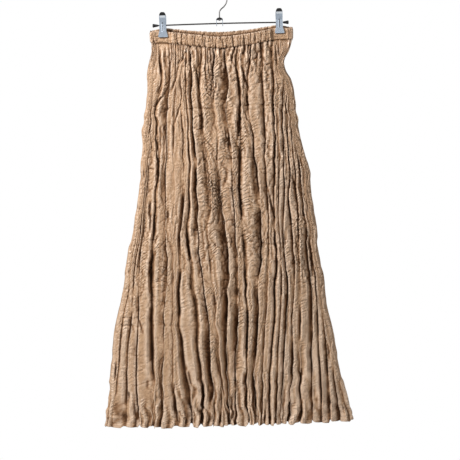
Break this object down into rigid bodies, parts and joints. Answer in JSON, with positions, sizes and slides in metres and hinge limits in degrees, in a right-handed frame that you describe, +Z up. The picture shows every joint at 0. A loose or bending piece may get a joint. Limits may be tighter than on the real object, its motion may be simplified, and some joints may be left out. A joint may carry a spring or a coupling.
{
  "type": "crinkle pleated skirt on a clip hanger",
  "caption": "Long A-line skirt in crinkle pleated cloth with a gathered elastic waist, hanging flat from the spring clips of a wire hanger.",
  "frame": {"origin": "inside top of the hook, where a rail holds the hanger", "axes": "+Z up, -Y out of the front of the skirt, +X to the right as seen from the front"},
  "size_m": [0.5394, 0.076, 0.9685],
  "materials": {
    "cloth": "soft satin crinkle",
    "band_cloth": "soft satin, gathered",
    "chrome": "polished",
    "rubber": "satin",
    "pad": "matt"
  },
  "bodies": {
    "root": {"front_panel": "cloth", "back_panel": "cloth", "waistband_front": "band_cloth", "waistband_back": "band_cloth", "hook": "chrome", "swivel_bracket": "chrome", "rod": "chrome", "rod_tip_left": "rubber", "rod_tip_right": "rubber", "clip_left_barrel": "chrome", "clip_left_front": "chrome", "clip_left_front_pad": "pad", "clip_left_back": "chrome", "clip_left_back_pad": "pad", "clip_right_barrel": "chrome", "clip_right_front": "chrome", "clip_right_front_pad": "pad", "clip_right_back": "chrome", "clip_right_back_pad": "pad"}
  },
  "joints": []
}
